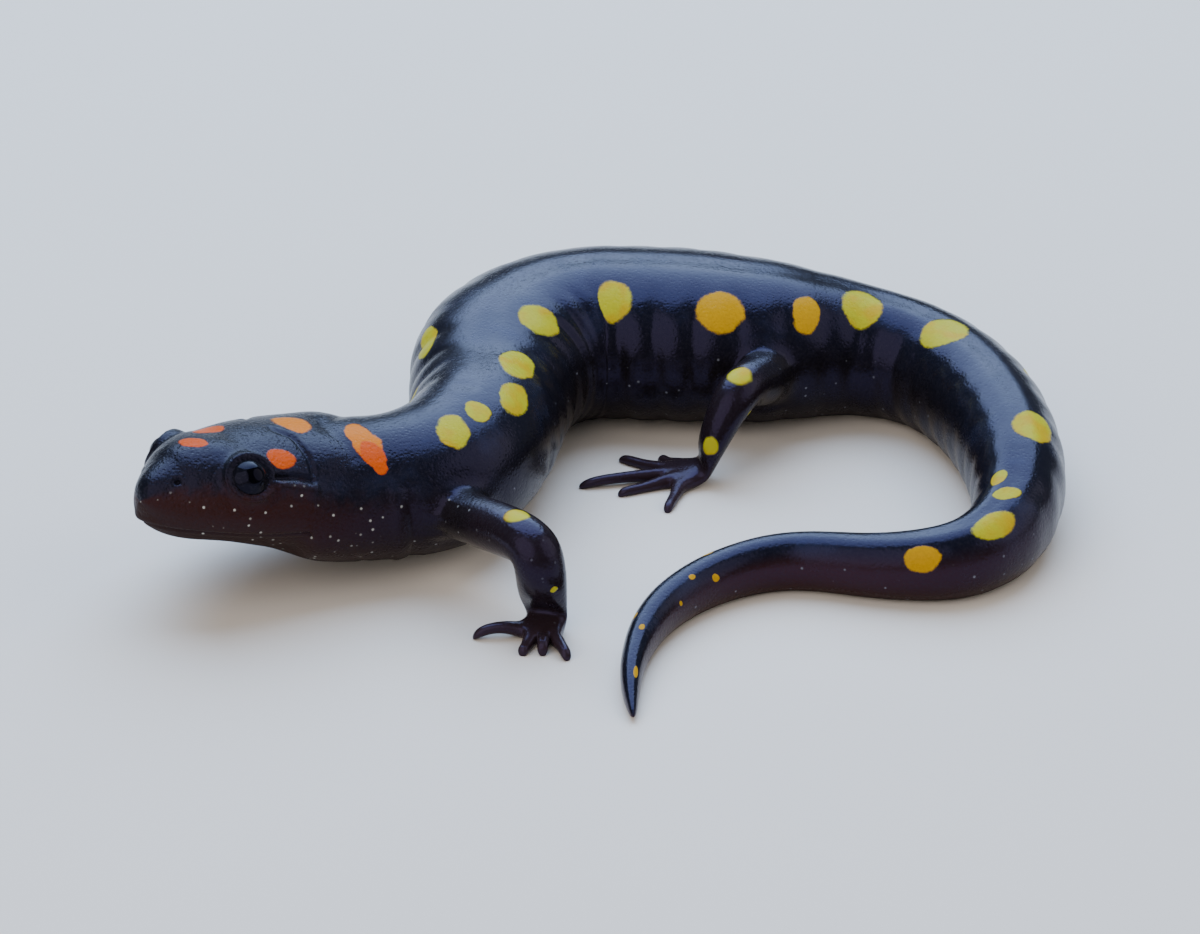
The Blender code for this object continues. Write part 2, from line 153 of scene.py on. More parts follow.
def frame_at(s):
    """The spine's point, its direction toward the tail, the animal's left, and its back's up."""
    along = (spine(min(s + ALONG_REACH, LENGTH)) - spine(max(s - ALONG_REACH, 0))).normalized()
    level = along.cross(UP).normalized()
    left = Quaternion(along, -math.radians(smooth(TIPPED, s))) @ level
    return spine(s), along, left, left.cross(along)


def rounding(s):
    """One along the body, falling to nothing round the snout and the tail tip."""
    front = max(0.0, 1 - s / SNOUT_ROUND)
    back = max(0.0, 1 - (LENGTH - s) / TAIL_ROUND)
    return math.sqrt(1 - front**SNOUT_BLUNT) * math.sqrt(1 - back**2)


def power(value, exponent):
    return math.copysign(abs(value) ** exponent, value)


def hill(distance, spread):
    return math.exp(-((distance / spread) ** 2))


def ease(low, high, value):
    t = min(1.0, max(0.0, (value - low) / (high - low)))
    return t * t * (3 - 2 * t)


def eye_centre(side):
    centre, along, left, up = frame_at(EYE_AT)
    return centre + left * side * EYE_OUT + up * EYE_ABOVE


EYES = {side: eye_centre(side) for side in (-1, 1)}


def swelling(s, angle, point):
    """How far the skin stands out from the plain form at the lids and the cheeks."""
    if s >= HEAD_END:
        return 0.0
    out = CHEEK_SWELL * abs(math.sin(angle)) ** 3 * hill(s - CHEEK_AT, CHEEK_SPREAD)
    for centre in EYES.values():
        out += BROW_SWELL * hill((point - centre).length - EYE_RADIUS / 2, BROW_SPREAD)
    return out


class Section:
    """The plain form of the body at one distance from the snout."""

    def __init__(self, s):
        self.s = s
        self.centre, self.along, self.left, self.up = frame_at(s)
        self.size = rounding(s)
        self.wide, self.tall, self.deep = (smooth(BODY, s, n) for n in (1, 2, 3))

    def point(self, angle):
        height = self.tall if math.cos(angle) > 0 else self.deep
        away = self.left * self.wide * power(math.sin(angle), SQUARENESS)
        away = (away + self.up * height * power(math.cos(angle), SQUARENESS)) * self.size
        point = self.centre + away
        return point + away.normalized() * swelling(self.s, angle, point) * self.size


# ---- stations and angles of the skin's rings ----


def stations():
    """Distances from the snout of the skin's rings, closest together round the snout and the head."""
    dome = (1 - (1 - (k / SNOUT_RINGS) ** 2) ** (1 / SNOUT_BLUNT) for k in range(1, SNOUT_KEPT + 1))
    found = [SNOUT_ROUND * share for share in dome]
    end = [LENGTH - TAIL_ROUND * (1 - math.sqrt(1 - (k / TIP_RINGS) ** 2)) for k in range(TIP_KEPT, 0, -1)]
    stops = (HEAD_RINGS_END, HEAD_STEP), (TRUNK_RINGS_END, TRUNK_STEP), (end[0] - TIP_CLEAR, TAIL_STEP)
    for stop, step in stops:
        count = math.ceil((stop - found[-1]) / step)
        found += [found[-1] + (stop - found[-1]) * (i + 1) / count for i in range(count)]
    return found + end


def crowded_angles():
    """Angles from the belly round by the back to the belly, crowded at the eyes and the mouth."""
    fine = [math.pi * (i + 0.5) / FINE_ANGLES for i in range(FINE_ANGLES)]
    weights = [sum((more * hill(math.degrees(a) - at, wide) for at, more, wide in CROWDS), 1) for a in fine]
    half, total, reached, found = AROUND // 2, sum(weights), 0.0, [0.0]
    for angle, weight in zip(fine, weights):
        reached += weight
        if reached >= total * len(found) / half and len(found) < half:
            found.append(angle)
    found.append(math.pi)
    return [-a for a in reversed(found[1:])] + found


CROWDED = crowded_angles()


def angle_of(column, s):
    """The angle of a column of the skin: crowded over the head, even over the trunk and the tail."""
    even = math.pi * (2 * column / AROUND - 1)
    return even + (CROWDED[column] - even) * ease(EVEN_FROM, CROWDED_TO, s)


# ---- the legs ----

# Each leg: where it starts inside the body, its elbow or knee, and its wrist or ankle. Then the middle
# of its palm or sole, which way that points, and each toe's direction, reach from there and arch.
Leg = namedtuple("Leg", "hind side start joint end foot heading toes")
LEGS = (
    Leg(0, 1, (-14.5, -11.5, 7.5), (-5.7, -24.1, 10.4), (-5.6, -22.8, 3.0), (-5.4, -23.4, 1.0),
        255, ((188, 7.1, 0.7), (243, 4.8, 0), (268, 4.3, 0.5), (294, 5.7, 0.3))),
    Leg(0, -1, (-17.0, 1.0, 7.5), (-28.5, 5.2, 6.4), (-35.0, 6.4, 2.8), (-37.2, 6.3, 1.0),
        183, ((236, 4.9, 0), (204, 6.2, 0.3), (178, 6.4, 0.3), (144, 5.2, 0))),
    Leg(1, 1, (18.9, 21.0, 6.5), (14.3, 9.9, 10.2), (10.8, 7.5, 2.9), (9.2, 8.3, 1.0),
        188, ((124, 5.2, 0), (149, 8.4, 0), (189, 11.6, 0.4), (206, 8.2, 0), (252, 7.6, 0))),
    Leg(1, -1, (18.6, 31.0, 6.5), (9.6, 39.6, 7.4), (2.2, 41.6, 2.9), (-0.1, 41.8, 1.0),
        175, ((235, 5.2, 0), (208, 8.2, 0), (184, 10.2, 0.4), (158, 9.6, 0), (118, 7.0, 0))),
)
# Radii of a fore and of a hind leg at its rings, the palm's half width and half thickness, and the
# radius of a toe at its root and at its tip.
THICK = {
    "start": (2.8, 3.1), "upper": (2.55, 2.7), "joint": (2.6, 2.3), "lower": (2.6, 1.95),
    "end": (2.45, 1.7), "palm": (2.3, 2.5), "palm_depth": (0.95, 1.0), "toe": (0.7, 0.7),
    "tip": (0.5, 0.5),
}
BEND = 3.3  # how far from an elbow or knee its rounding starts
SOFTENED, TOE_SOFTENED = 0.95, 0.94  # of the cage's size is left in a limb and a toe once smoothed
WRIST_TURN = 0.8  # how much of the palm's direction is in the wrist's
WRIST_DEPTH = 0.9  # of the wrist's half width
HEEL_BACK, HEEL_WIDTH = 0.75, 0.85  # the palm's rear ring: how far back, and how wide, against the palm
PALM_FRONT = 0.6  # height of the palm's front edge, against its half thickness
TOE_RINGS = (0.2, 0.38, 0.55, 0.72, 0.9, 1.0)
TOE_TIP = 0.55  # of its half width is left at a toe's last ring
KNUCKLE_SWELL, KNUCKLE_TURNS = 0.1, 9  # how much a toe swells, and the radians of its waves
OUTSIDE = 20  # degrees from an outer toe to the palm's side
SUNK = 0.15  # how far below the floor a toe's underside would run: it is pressed flat there
ROOT_OUT, ROOT_SHARE = 0.9, 0.97  # a leg's first ring: how far off the flank it stands, and its size
ROOT_STEPS = 100  # in the search for where it comes out of the body
FILLET = 1.6  # how far round a leg's root the skin is eased
FILLET_PASSES, FILLET_FACTOR, FILLET_CUTS = 14, 0.5, 2
LIMB_FADE = (0.5, 4.0)  # past a leg's root, where its own colour takes over
LEG_SMOOTHING = 2  # rounds of surface subdivision


def turned(degrees):
    angle = math.radians(degrees)
    return Vector((math.cos(angle), math.sin(angle), 0))


def rounded_corner(before, corner, after, reach):
    """Three points of a soft bend, and the direction at each."""
    into, out = (corner - before).normalized(), (after - corner).normalized()
    first, last = corner - into * reach, corner + out * reach
    return (first, into), ((first + last) / 4 + corner / 2, (into + out).normalized()), (last, out)


def limb_stations(leg, root, facing):
    """Down the limb: the middle of each ring, its direction, and its half width and half depth."""
    start, joint, end, foot = (Vector(p) for p in (leg.start, leg.joint, leg.end, leg.foot))
    thick = {word: sizes[leg.hind] / SOFTENED for word, sizes in THICK.items()}
    ahead, down = turned(leg.heading), (joint - start).normalized()
    wrist = ((end - joint).normalized() + ahead * WRIST_TURN).normalized()
    heel = foot - ahead * THICK["palm"][leg.hind] * HEEL_BACK
    first, middle, last = rounded_corner(start, joint, end, BEND)
    begin = root + facing * ROOT_OUT
    return [
        (begin, (facing + down).normalized(), thick["start"] * ROOT_SHARE, thick["start"] * ROOT_SHARE),
        (begin.lerp(first[0], 0.5), down, thick["upper"], thick["upper"]),
        (*first, thick["joint"], thick["joint"]),
        (*middle, thick["joint"], thick["joint"]),
        (*last, thick["lower"], thick["lower"]),
        (end, wrist, thick["end"], thick["end"] * WRIST_DEPTH),
        (heel, ahead, thick["palm"] * HEEL_WIDTH, thick["palm_depth"]),
    ]


def ring_frames(rings, across):
    """The sideways direction of each ring, carried back from the foot without twist."""
    found, direction = [], rings[-1][1]
    for _, heading, _, _ in reversed(rings):
        across = direction.rotation_difference(heading) @ across
        direction = heading
        found.append(across.copy())
    return found[::-1]


def grown(bm, ring, places):
    """Extrudes a closed ring of points once and puts the new points in their places, in ring order."""
    edges = [bm.edges.get((a, b)) for a, b in zip(ring, ring[1:] + ring[:1])]
    made = set(bmesh.ops.extrude_edge_only(bm, edges=edges)["geom"])
    following = [next(e.other_vert(v) for e in v.link_edges if e.other_vert(v) in made) for v in ring]
    for vert, place in zip(following, places):
        vert.co = place
    return following


def limb_ring(station, across, hand, count):
    """Places round a limb: a row over its top, then a row back under it."""
    middle, heading, wide, deep = station
    top = heading.cross(across) * hand
    over = [math.pi * (k + 0.5) / (count + 1) for k in range(count + 1)]
    offsets = [(-math.cos(a), math.sin(a)) for a in over]
    offsets += [(x, -z) for x, z in reversed(offsets)]
    return [middle + across * x * wide + top * z * deep for x, z in offsets]


def toe_edges(toes):
    """Directions of the lines that part the toes, from the first toe's outside to the last one's."""
    angles = [angle for angle, _, _ in toes]
    between = [(a + b) / 2 for a, b in zip(angles, angles[1:])]
    outside = math.copysign(OUTSIDE, angles[1] - angles[0])
    return [angles[0] - outside, *between, angles[-1] + outside]


def leg_mesh(leg, root, facing):
    """A leg with its toes, open where it joins the body."""
    bm = bmesh.new()
    count, foot = len(leg.toes), Vector(leg.foot)
    rings = limb_stations(leg, root, facing)
    sideways = ring_frames(rings, UP.cross(turned(leg.heading)) * leg.side)
    ring = bmesh.ops.create_circle(bm, segments=2 * count + 2, radius=1)["verts"]
    for vert, place in zip(ring, limb_ring(rings[0], sideways[0], leg.side, count)):
        vert.co = place
    for station, across in zip(rings[1:], sideways[1:]):
        ring = grown(bm, ring, limb_ring(station, across, leg.side, count))
    front = [turned(a) * THICK["palm"][leg.hind] / SOFTENED for a in toe_edges(leg.toes)]
    depth = THICK["palm_depth"][leg.hind] * PALM_FRONT
    upper = [foot + out + UP * depth for out in front]
    lower = [foot + out - UP * (foot.z + SUNK) for out in front]
    ring = grown(bm, ring, upper + lower[::-1])
    upper, lower = ring[: count + 1], ring[count + 1 :][::-1]
    for k in range(1, count):
        bm.edges.new((upper[k], lower[k]))
    for k, (angle, reach, arch) in enumerate(leg.toes):
        root_ring = [upper[k], upper[k + 1], lower[k + 1], lower[k]]
        begin, tip = foot + (front[k] + front[k + 1]) / 2, foot + turned(angle) * reach
        grow_toe(bm, root_ring, begin, tip, arch, leg)
    bmesh.ops.recalc_face_normals(bm, faces=bm.faces)
    return bm


def grow_toe(bm, ring, begin, tip, arch, leg):
    """Extrudes a toe from its four points at the palm, with faint knuckles and a rounded tip."""
    ahead = Vector((tip.x - begin.x, tip.y - begin.y, 0)).normalized()
    across = UP.cross(ahead) * leg.side
    corners = ((-1, 1), (1, 1), (1, -1), (-1, -1))
    for t in TOE_RINGS:
        half = (THICK["toe"][leg.hind] * (1 - t) + THICK["tip"][leg.hind] * t) / TOE_SOFTENED
        half *= 1 + KNUCKLE_SWELL * math.sin(t * KNUCKLE_TURNS) * (1 - t)
        if t == TOE_RINGS[-1]:
            half *= TOE_TIP
        middle = begin.lerp(tip, t)
        middle.z = half - SUNK + arch * math.sin(math.pi * t)
        ring = grown(bm, ring, [middle + across * x * half + UP * z * half for x, z in corners])
    bmesh.ops.contextual_create(bm, geom=ring)


# ---- the skin ----


def new_object(name, bm):
    mesh = bpy.data.meshes.new(name)
    bm.to_mesh(mesh)
    bm.free()
    obj = bpy.data.objects.new(name, mesh)
    bpy.context.scene.collection.objects.link(obj)
    return obj


def finished(name, bm, move):
    """A smoothly shaded object from a mesh in millimetres, moved into the shared frame."""
    for face in bm.faces:
        face.smooth = True
    bmesh.ops.translate(bm, vec=move, verts=bm.verts)
    bmesh.ops.scale(bm, vec=(MM,) * 3, verts=bm.verts)
    return new_object(name, bm)


def smoothed_mesh(bm, levels):
    """The mesh of a cage after rounds of surface subdivision."""
    obj = new_object("cage", bm)
    rounds = obj.modifiers.new("rounded", "SUBSURF")
    rounds.levels = rounds.render_levels = levels
    mesh = bpy.data.meshes.new_from_object(obj.evaluated_get(bpy.context.evaluated_depsgraph_get()))
    bpy.data.objects.remove(obj)
    return mesh


def eased_lines(sections):
    """The skin's points as rows of rings, eased along the body where a bend pinches them."""
    columns = range(AROUND + 1)
    rows = np.array([[section.point(angle_of(n, section.s)) for n in columns] for section in sections])

    def share_eased(s, first, last):
        return ease(first, first + EASED_FADE, s) * (1 - ease(last - EASED_FADE, last, s))

    for first, last in EASED_LENGTHS:
        low, high = first - EASED_MARGIN, last + EASED_MARGIN
        near = [n for n, section in enumerate(sections) if low < section.s < high]
        share = np.array([share_eased(sections[n].s, first, last) for n in near])
        for column in columns:
            line = rows[near, column]
            steps = np.linalg.norm(np.diff(line, axis=0), axis=1)
            at = np.concatenate([[0], np.cumsum(steps)])
            covers = (np.concatenate([[0], steps]) + np.concatenate([steps, [0]])) / 2
            weights = np.exp(-(((at[:, None] - at[None, :]) / EASED_OVER) ** 2)) * covers
            eased = weights @ line / weights.sum(axis=1)[:, None]
            rows[near, column] = line + (eased - line) * share[:, None]
    return rows


SEAM_GAP = 1e-4  # points of the seam nearer than this are joined
SNOUT_ABOVE = 5  # the snout tip is higher than this off the floor, and the tail tip is lower


def body_skin():
    """The body from snout to tail tip as one closed sleeve. Each point keeps where on the body it lies."""
    bm = bmesh.new()
    where = bm.verts.layers.float_vector.new("where")
    bm.verts.layers.float.new("limb")
    sections = [Section(s) for s in stations()]
    last = len(sections) - 1
    rows = eased_lines(sections)
    bmesh.ops.create_grid(bm, x_segments=AROUND, y_segments=last, size=1)
    seam = []
    for vert in bm.verts:
        column, row = round((vert.co.x + 1) / 2 * AROUND), round((vert.co.y + 1) / 2 * last)
        section = sections[row]
        angle = angle_of(column, section.s)
        vert.co = rows[row, column]
        vert[where] = (section.s, math.sin(angle), math.cos(angle))
        if column in (0, AROUND):
            seam.append(vert)
    bmesh.ops.remove_doubles(bm, verts=seam, dist=SEAM_GAP)
    holes = bmesh.ops.holes_fill(bm, edges=[e for e in bm.edges if e.is_boundary], sides=0)["faces"]
    bmesh.ops.poke(bm, faces=holes)
    bmesh.ops.recalc_face_normals(bm, faces=bm.faces)
    # The two points that close the sleeve have no place yet: one is the snout's and one the tail tip's.
    for vert in bm.verts:
        if vert[where].length < 0.5:
            vert[where] = (0 if vert.co.z > SNOUT_ABOVE else LENGTH, 0, 1)
    return bm


def root_of(leg, tree, places):
    """Where a leg comes out of the body, which way the skin faces there, and the point's own place."""
    start, joint = Vector(leg.start), Vector(leg.joint)
    for i in range(ROOT_STEPS):
        point = start.lerp(joint, i / ROOT_STEPS)
        near, index, _ = tree.find(point)
        if (point - near).dot(places[index][0]) > 0:
            break
    return near, places[index][0], places[index][1]


def join_leg(bm, leg, tree, places):
    """Opens the flank, sets the leg against the opening, and eases the skin between the two."""
    where, limb = bm.verts.layers.float_vector["where"], bm.verts.layers.float["limb"]
    root, facing, place = root_of(leg, tree, places)
    reach = THICK["start"][leg.hind]
    opened = [f for f in bm.faces if (f.calc_center_median() - root).length < reach]
    rim = {e for f in opened for e in f.edges if sum(g in opened for g in e.link_faces) == 1}
    bmesh.ops.delete(bm, geom=opened, context="FACES")
    before = set(bm.verts)
    bm.from_mesh(smoothed_mesh(leg_mesh(leg, root, facing), LEG_SMOOTHING))
    added = [v for v in bm.verts if v not in before]
    for vert in added:
        vert[where] = place
        vert[limb] = ease(*LIMB_FADE, (vert.co - root).length - reach)
    ring = [e for v in added for e in v.link_edges if e.is_boundary]
    bridge = bmesh.ops.bridge_loops(bm, edges=list(rim | set(ring)))
    bmesh.ops.subdivide_edges(bm, edges=bridge["edges"], cuts=FILLET_CUTS)
    eased = [v for v in bm.verts if (v.co - root).length < reach + FILLET]
    axes = {"use_axis_x": True, "use_axis_y": True, "use_axis_z": True}
    for _ in range(FILLET_PASSES):
        bmesh.ops.smooth_vert(bm, verts=eased, factor=FILLET_FACTOR, **axes)


# ---- modelling on the skin ----

EYE_UP, EYE_AHEAD = 0.47, 0.36  # how far the eyes look up and ahead, against outward
EYE_FINE, NOSTRIL_FINE = 4.2, 1.0  # how far round each the skin's faces are halved
LID_THICK, LID_AHEAD = 0.62, 0.10  # how proud of the eyeball the lids are, and how much more ahead of it
LID_TUCK, LID_BLEND = 0.42, 0.65  # how far inside the eyeball the opening's edge is, and the lids' soft foot
# Degrees from the eye's axis: the opening, how much wider it is at its corners, and its rounded edge.
LID_OPEN, LID_LONGER, LID_EDGE = 50, 7, 12
LID_REACH, LID_BACK = 6, 115  # skin farther off, or more degrees off the eye's axis, is left alone

# Creases of the head and the throat: (distance, angle) along each, its depth, below nothing for a ridge,
# and its half width.
CREASES = (
    (((10.4, 61), (12.4, 62), (15.1, 64), (17.5, 59)), 0.50, 0.30),
    (((10.6, 68), (12.1, 70), (16.0, 69)), -0.40, 0.62),
    (((11.0, 79), (13.0, 80), (15.5, 78)), 0.12, 0.45),
    (((13.4, 14), (14.8, 27), (14.9, 37), (15.8, 45), (18.5, 52)), 0.30, 0.32),
    (((20.3, -6), (20.9, 2), (21.8, 10), (23.3, 21), (23.9, 34)), 0.13, 0.80),
    (((27.9, 62), (27.9, 90), (28.1, 120), (28.3, 150), (28.4, 180)), 0.34, 0.50),
    (((26.9, 66), (26.9, 92), (27.0, 120), (27.1, 150)), -0.16, 0.55),
    (((22.2, 100), (23.4, 128), (24.4, 160)), 0.12, 0.50),
    (((30.6, 58), (31.4, 72), (31.2, 95)), 0.08, 0.60),
    (((34.6, 55), (35.0, 66), (34.8, 84)), 0.06, 0.60),
    (((3.2, 66), (4.2, 70), (5.0, 74)), -0.10, 0.50),
)
NOSTRIL, NOSTRIL_DEPTH, NOSTRIL_WIDTH = (1.9, 54), 0.60, 0.30
NOSTRIL_RIM, NOSTRIL_RIM_WIDTH = 0.10, 0.62
# Swellings: the place of each, how high and how wide.
BULGES = (((20.4, 34), 0.30, 2.2), ((20.5, 108), 0.22, 2.4), ((6.4, 24), 0.10, 1.4))
LIP_OUT, LIP_DEEP, LIP_GROOVE = 0.13, 0.32, 0.16  # the lips' relief, and the groove's depth and half width
# The upper lip stands out above the groove, and the lower one draws in below it: how far off and how widely.
UPPER_LIP, LOWER_LIP = (0.45, 0.38), (0.5, 0.4)
MOUTH_REACH, MOUTH_SIDE = 2, 1.0  # above and below the groove, and radians off the back
MOUTH_FADE = (MOUTH_CORNER - 1.5, MOUTH_CORNER + 1.0)
CREASE_REACH, PIT_REACH = 14, 3  # from a crease's second point, and in widths of a pit
HEAD_MODELLED, BODY_FROM = 36.0, 38.0  # where the head's modelling ends, and where the grooves start
RELIEF_START = (0.1, 0.8)  # where the head's modelling sets in
SNOUT_PLAIN, TIP_PLAIN = 0.05, 2  # lengths of the snout's and the tail's end that are left plain

# The costal grooves: radians from the back over which they start and end down the flank.
GROOVE_TOP, GROOVE_FOOT = (0.30, 0.95), (2.2, 2.8)
GROOVE_LEAN = 0.9  # how much farther forward they lie at the back, and farther back at the belly
# The ridges' height, then the depth and half width of a groove's broad and narrow part.
GROOVE_RIDGE, GROOVE_BROAD, GROOVE_NARROW = 0.16, (0.20, 1.3), (0.24, 0.5)
# Where along the body they set in, lose a share of their depth for the tail, and end.
GROOVES_IN, GROOVES_TAIL, GROOVES_OUT, TAIL_SHARE = (BODY_FROM, 42), (88, 98), (138, 152), 0.45
# Skin for each millimetre of spine: where it is squeezed they are flat, and drawn out they lose a share.
SQUEEZED, DRAWN, DRAWN_SHARE = (0.1, 0.65), (1.1, 1.6), 0.55
# The line down the back: its depth, its half width, and where it sets in and ends.
MIDLINE_DEPTH, MIDLINE_WIDE, MIDLINE_IN, MIDLINE_OUT = 0.12, 1.0, (30, 36), (150, 165)


def eye_axis(side):
    _, along, left, up = frame_at(EYE_AT)
    return (left * side + up * EYE_UP - along * EYE_AHEAD).normalized()


def refine(bm, places, reach):
    """Halves the faces of the skin near some places, where fine modelling needs them."""

    def near(point):
        return any((point - place).length < reach for place in places)

    edges = {e for f in bm.faces if near(f.calc_center_median()) for e in f.edges}
    bmesh.ops.subdivide_edges(bm, edges=list(edges), cuts=1, use_grid_fill=True)


def soft_most(a, b, blend):
    """The greater of two lengths, with a soft fillet where they cross."""
    share = max(0.0, blend - abs(a - b)) / blend
    return max(a, b) + share * share * blend / 4


def shape_lids(bm):
    """Raises the lids round each eyeball, and turns the skin in at the opening."""
    for side, centre in EYES.items():
        axis, lengthways = eye_axis(side), frame_at(EYE_AT)[1]
        for vert in bm.verts:
            away = vert.co - centre
            far = away.length
            off = math.degrees(away.angle(axis)) if far < LID_REACH else 180
            if off > LID_BACK:
                continue
            behind = (away - axis * away.dot(axis)).normalized().dot(lengthways)
            opening = LID_OPEN + LID_LONGER * behind**2
            proud = LID_THICK + LID_AHEAD * max(0.0, -behind)
            out = soft_most(far, EYE_RADIUS + proud, LID_BLEND)
            rim = ease(opening, opening + LID_EDGE, off)
            out = out * rim + (EYE_RADIUS - LID_TUCK) * (1 - rim)
            vert.co = centre + away.normalized() * out


def line_on_skin(line, side):
    return [Section(s).point(side * math.radians(angle)) for s, angle in line]


def off_line(point, line):
    """Distance of a point from a line of points."""
    best = 1e9
    for start, end in zip(line, line[1:]):
        run, offset = end - start, point - start
        t = min(1.0, max(0.0, offset.dot(run) / run.length_squared))
        best = min(best, (offset - run * t).length)
    return best


def on_both_sides(marks):
    """Each mark's one place on the left and the right, with how far it stands out and its width."""
    return [(line_on_skin([at], side)[0], out, width) for at, out, width in marks for side in (-1, 1)]


CREASE_LINES = [(line_on_skin(line, side), *sizes) for line, *sizes in CREASES for side in (-1, 1)]
NOSTRILS = on_both_sides([(NOSTRIL, -NOSTRIL_DEPTH, NOSTRIL_WIDTH)])
NOSTRIL_RIMS = on_both_sides([(NOSTRIL, NOSTRIL_RIM, NOSTRIL_RIM_WIDTH)])
PITS = NOSTRILS + NOSTRIL_RIMS + on_both_sides(BULGES)


def head_relief(s, point, side_angle, height):
    """Lips, nostrils, creases and bulges of the head, as a distance outward."""
    out = 0.0
    off = height - smooth(MOUTH, s)
    if s < MOUTH_FADE[1] and abs(off) < MOUTH_REACH and side_angle > MOUTH_SIDE:
        upper = LIP_OUT * hill(off - UPPER_LIP[0], UPPER_LIP[1])
        lower = LIP_OUT * hill(off + LOWER_LIP[0], LOWER_LIP[1])
        out += (1 - ease(*MOUTH_FADE, s)) * (upper - LIP_DEEP * hill(off, LIP_GROOVE) - lower)
    for place, rise, spread in PITS:
        if (point - place).length < PIT_REACH * spread:
            out += rise * hill((point - place).length, spread)
    for line, depth, width in CREASE_LINES:
        if (point - line[1]).length < CREASE_REACH:
            out -= depth * hill(off_line(point, line), width)
    return out


LEAST_APART = 0.05  # along the spine, for an edge to tell how far the skin is stretched


def stretch_of(vert, where):
    """How much skin there is for each millimetre of the spine: less inside a bend."""

    def apart(edge):
        return abs(edge.other_vert(vert)[where].x - vert[where].x)

    longest = max(vert.link_edges, key=apart)
    return longest.calc_length() / apart(longest) if apart(longest) > LEAST_APART else 1.0


def body_relief(s, side_angle, radius, stretch):
    """Costal grooves down the flanks, softer ones along the tail, and a line down the back."""
    down = ease(*GROOVE_TOP, side_angle) * (1 - ease(*GROOVE_FOOT, side_angle))
    slant = s + GROOVE_LEAN * math.cos(side_angle)
    spacing = (LAST_GROOVE - FIRST_GROOVE) / (GROOVES - 1)
    gap = ((slant - FIRST_GROOVE + spacing / 2) % spacing - spacing / 2) * stretch
    depth = ease(*GROOVES_IN, s) * (1 - TAIL_SHARE * ease(*GROOVES_TAIL, s)) * (1 - ease(*GROOVES_OUT, s))
    depth *= ease(*SQUEEZED, stretch) * (1 - DRAWN_SHARE * ease(*DRAWN, stretch))
    (broad, broad_wide), (narrow, narrow_wide) = GROOVE_BROAD, GROOVE_NARROW
    out = depth * down * (GROOVE_RIDGE - broad * hill(gap, broad_wide) - narrow * hill(gap, narrow_wide))
    midline = ease(*MIDLINE_IN, s) * (1 - ease(*MIDLINE_OUT, s))
    return out - MIDLINE_DEPTH * midline * hill(side_angle * radius, MIDLINE_WIDE)


def model_relief(bm):
    """Moves each point of the skin along its normal by the relief of the place where it lies."""
    where = bm.verts.layers.float_vector["where"]
    bm.normal_update()
    moves = []
    for vert in bm.verts:
        s, sine, cosine = vert[where]
        if s < SNOUT_PLAIN or s > LENGTH - TIP_PLAIN:
            continue
        side_angle = abs(math.atan2(sine, cosine))
        centre, _, _, up = frame_at(s)
        out = 0.0
        if s > BODY_FROM:
            out = body_relief(s, side_angle, (vert.co - centre).length, stretch_of(vert, where))
        if s < HEAD_MODELLED:
            height = (vert.co - centre).dot(up)
            out += head_relief(s, vert.co, side_angle, height) * ease(*RELIEF_START, s)
        moves.append((vert, vert.normal * out))
    for vert, move in moves:
        vert.co += move


LEGS_BETWEEN = (20, 110)  # distances from the snout between which legs join the body


def make_skin():
    """The whole skin: the sleeve of the body with its modelling, and the four legs joined to it."""
    bm = body_skin()
    where = bm.verts.layers.float_vector["where"]
    bm.normal_update()
    flank = [v for v in bm.verts if LEGS_BETWEEN[0] < v[where].x < LEGS_BETWEEN[1]]
    tree = kdtree.KDTree(len(flank))
    for index, vert in enumerate(flank):
        tree.insert(vert.co, index)
    tree.balance()
    places = [(v.normal.copy(), v[where].copy()) for v in flank]
    refine(bm, EYES.values(), EYE_FINE)
    refine(bm, [place for place, _, _ in NOSTRILS], NOSTRIL_FINE)
    shape_lids(bm)
    model_relief(bm)
    for leg in LEGS:
        join_leg(bm, leg, tree, places)
    bmesh.ops.recalc_face_normals(bm, faces=bm.faces)
    for vert in bm.verts:
        vert.co.z = max(vert.co.z, 0.0)
    return finished("skin", bm, -MIDDLE)


# ---- the eyes ----

EYE_ROUND, EYE_RINGS = 64, 40
CORNEA_OUT, CORNEA_EDGE = 0.06, (20, 46)  # in eye radii, and in degrees from the eye's axis


def make_eye(side, name):
    """A ball with a low cornea standing out of it along the eye's axis."""
    bm = bmesh.new()
    bmesh.ops.create_uvsphere(bm, u_segments=EYE_ROUND, v_segments=EYE_RINGS, radius=EYE_RADIUS)
    for vert in bm.verts:
        off = math.degrees(vert.co.angle(UP))
        vert.co *= 1 + CORNEA_OUT * (1 - ease(*CORNEA_EDGE, off))
    bmesh.ops.rotate(bm, matrix=UP.rotation_difference(eye_axis(side)).to_matrix(), verts=bm.verts)
    return finished(name, bm, EYES[side] - MIDDLE)


# ---- shader maths ----

IN_MILLIMETRES = (1000, 1000, 1000)


